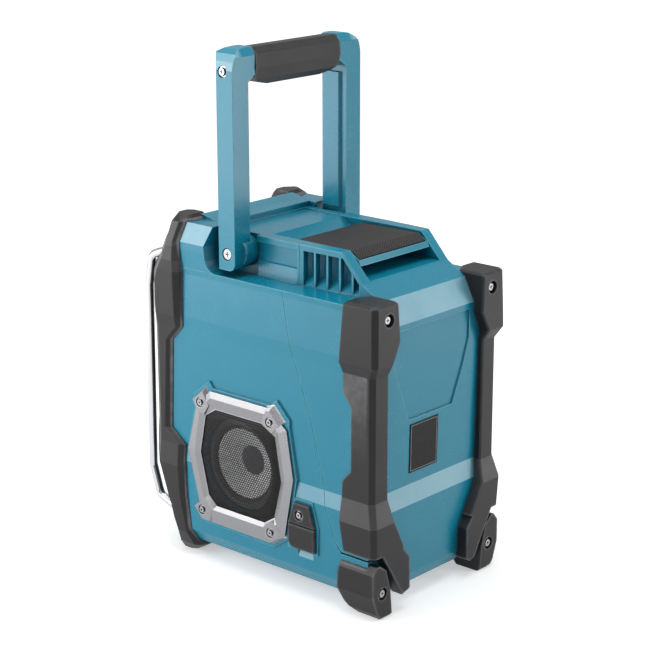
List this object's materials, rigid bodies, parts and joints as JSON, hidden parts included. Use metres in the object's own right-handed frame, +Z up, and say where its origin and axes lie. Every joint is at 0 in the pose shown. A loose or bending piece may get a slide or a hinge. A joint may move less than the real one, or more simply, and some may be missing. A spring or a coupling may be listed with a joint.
{
  "type": "jobsite radio",
  "caption": "Upright portable radio in a rubber-cornered case, with side speakers, a folding carrying handle, guard bars and a hinged battery door.",
  "frame": {"origin": "on the ground under the middle of the overall box, handle standing up", "axes": "+Z up, -Y the control panel side, +Y the battery door side, +X the side with the sockets"},
  "size_m": [0.164, 0.2676, 0.4304],
  "materials": {
    "teal_plastic": "satin, fine texture",
    "black_elastomer": "matte, fine texture",
    "gasket_rubber": "matte",
    "silver_trim": "satin metallic paint",
    "black_mesh": "satin, perforated look",
    "chrome_bar": "polished",
    "steel_screws": "plated",
    "cone_paper": "matte",
    "basket_steel": "matte",
    "magnet_iron": "matte",
    "black_plastic": "satin",
    "socket_steel": "satin",
    "clear_window": "clear",
    "display_glass": "gloss",
    "circuit_board": "gloss",
    "heat_sink": "satin",
    "key_rubber": "matte"
  },
  "bodies": {
    "radio_body": {"front_housing": "teal_plastic", "bay_liner": "black_plastic", "control_panel": "black_plastic", "display_window": "clear_window", "display_module": "display_glass", "panel_board": "circuit_board", "main_board": "circuit_board", "heat_sink": "heat_sink", "battery_rail": "black_plastic", "right_speaker_basket": "basket_steel", "left_speaker_basket": "basket_steel", "right_speaker_cone": "cone_paper", "left_speaker_cone": "cone_paper", "right_speaker_magnet": "magnet_iron", "left_speaker_magnet": "magnet_iron", "right_grille": "black_mesh", "left_grille": "black_mesh", "right_bezel": "silver_trim", "left_bezel": "silver_trim", "trim_screws": "steel_screws", "right_front_bumper": "black_elastomer", "left_front_bumper": "black_elastomer", "right_guard_bar": "chrome_bar", "left_guard_bar": "chrome_bar", "right_rear_foot": "black_elastomer", "left_rear_foot": "black_elastomer", "foot_screws": "steel_screws", "port_cover_base": "black_elastomer", "dc_socket": "black_plastic", "usb_socket": "socket_steel", "aux_socket": "black_plastic", "aerial_base": "black_plastic"},
    "door": {"battery_door": "teal_plastic", "right_door_bumper": "black_elastomer", "left_door_bumper": "black_elastomer", "door_screws": "steel_screws", "rating_plate": "black_plastic", "door_gasket": "gasket_rubber", "hinge_pins": "steel_screws", "lever_pin": "steel_screws"},
    "lever": {"lock_lever": "teal_plastic", "lever_pad": "black_elastomer"},
    "handle": {"right_handle_arm": "teal_plastic", "left_handle_arm": "teal_plastic", "right_arm_cover": "teal_plastic", "left_arm_cover": "teal_plastic", "handle_grip": "black_elastomer", "grip_core": "steel_screws", "handle_screws": "steel_screws"},
    "port_flap": {"port_flap": "black_elastomer"},
    "tuning_knob": {"tuning_knob": "black_plastic"},
    "aerial": {"aerial_whip": "black_plastic"},
    "power_key": {"power_key": "key_rubber"},
    "source_key": {"source_key": "key_rubber"},
    "menu_key": {"menu_key": "key_rubber"},
    "preset_key_1": {"preset_key_1": "key_rubber"},
    "preset_key_2": {"preset_key_2": "key_rubber"},
    "preset_key_3": {"preset_key_3": "key_rubber"},
    "preset_key_4": {"preset_key_4": "key_rubber"},
    "preset_key_5": {"preset_key_5": "key_rubber"}
  },
  "joints": [
    {"name": "handle_fold", "type": "hinge", "parent": "radio_body", "child": "handle", "pos_m": [0, -0.0245, 0.2687], "axis": [1, 0, 0], "range_deg": [-90, 0]},
    {"name": "door_hinge", "type": "hinge", "parent": "radio_body", "child": "door", "pos_m": [0, 0.118, 0.018], "axis": [-1, 0, 0], "range_deg": [0, 70]},
    {"name": "lever_lift", "type": "hinge", "parent": "door", "child": "lever", "pos_m": [0, 0.0185, 0.2725], "axis": [1, 0, 0], "range_deg": [0, 25]},
    {"name": "port_flap_hinge", "type": "hinge", "parent": "radio_body", "child": "port_flap", "pos_m": [0.0806, 0.0565, 0.062], "axis": [0, -1, 0], "range_deg": [0, 110]},
    {"name": "tuning_turn", "type": "hinge", "parent": "radio_body", "child": "tuning_knob", "pos_m": [0.019, -0.1175, 0.137], "axis": [0, 1, 0], "continuous": true},
    {"name": "aerial_swing", "type": "hinge", "parent": "radio_body", "child": "aerial", "pos_m": [-0.0457, -0.1172, 0.221], "axis": [-1, 0, 0], "range_deg": [0, 180]},
    {"name": "power_key_press", "type": "slide", "parent": "radio_body", "child": "power_key", "axis": [0, 1, 0], "range_m": [0, 0.0012], "stiffness_N_per_m": 300},
    {"name": "source_key_press", "type": "slide", "parent": "radio_body", "child": "source_key", "axis": [0, 1, 0], "range_m": [0, 0.0012], "stiffness_N_per_m": 300},
    {"name": "menu_key_press", "type": "slide", "parent": "radio_body", "child": "menu_key", "axis": [0, 1, 0], "range_m": [0, 0.0012], "stiffness_N_per_m": 300},
    {"name": "preset_key_1_press", "type": "slide", "parent": "radio_body", "child": "preset_key_1", "axis": [0, 1, 0], "range_m": [0, 0.0012], "stiffness_N_per_m": 300},
    {"name": "preset_key_2_press", "type": "slide", "parent": "radio_body", "child": "preset_key_2", "axis": [0, 1, 0], "range_m": [0, 0.0012], "stiffness_N_per_m": 300},
    {"name": "preset_key_3_press", "type": "slide", "parent": "radio_body", "child": "preset_key_3", "axis": [0, 1, 0], "range_m": [0, 0.0012], "stiffness_N_per_m": 300},
    {"name": "preset_key_4_press", "type": "slide", "parent": "radio_body", "child": "preset_key_4", "axis": [0, 1, 0], "range_m": [0, 0.0012], "stiffness_N_per_m": 300},
    {"name": "preset_key_5_press", "type": "slide", "parent": "radio_body", "child": "preset_key_5", "axis": [0, 1, 0], "range_m": [0, 0.0012], "stiffness_N_per_m": 300}
  ]
}
